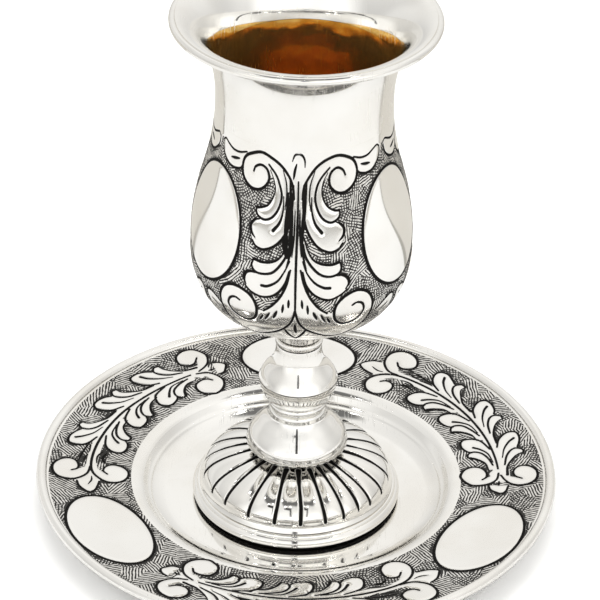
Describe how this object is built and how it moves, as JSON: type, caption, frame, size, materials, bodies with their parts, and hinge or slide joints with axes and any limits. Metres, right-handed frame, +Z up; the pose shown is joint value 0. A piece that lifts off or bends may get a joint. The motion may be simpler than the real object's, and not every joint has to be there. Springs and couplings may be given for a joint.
{
  "type": "footed goblet with saucer",
  "caption": "Engraved silver footed goblet with a gilt bowl, lifting off a matching round saucer.",
  "frame": {"origin": "middle of the saucer's flat underside, on the table", "axes": "+Z up along the goblet's and saucer's common axis; -Y towards the front, which is the middle of one leaf motif"},
  "size_m": [0.14, 0.14, 0.1448],
  "materials": {
    "silver": "bright polished silver",
    "engraved_silver": "polished silver with blackened engraving and hatched ground",
    "gilt": "polished gold plating",
    "steel": "plain turned"
  },
  "bodies": {
    "saucer": {"saucer_dish": "engraved_silver", "saucer_rim_wire": "silver"},
    "goblet": {"foot_rim": "silver", "foot_dome": "engraved_silver", "knop_tube": "silver", "lower_knop": "silver", "stem_bead": "silver", "upper_knop_base": "silver", "upper_knop_top": "silver", "stem_collar": "silver", "bowl_stub": "silver", "bowl": "engraved_silver", "lip_wire": "silver", "tie_rod": "steel", "tie_washer": "steel", "tie_nut": "steel"}
  },
  "joints": [
    {"name": "goblet_lift", "type": "slide", "parent": "saucer", "child": "goblet", "axis": [0, 0, 1], "range_m": [0, 0.08]}
  ]
}
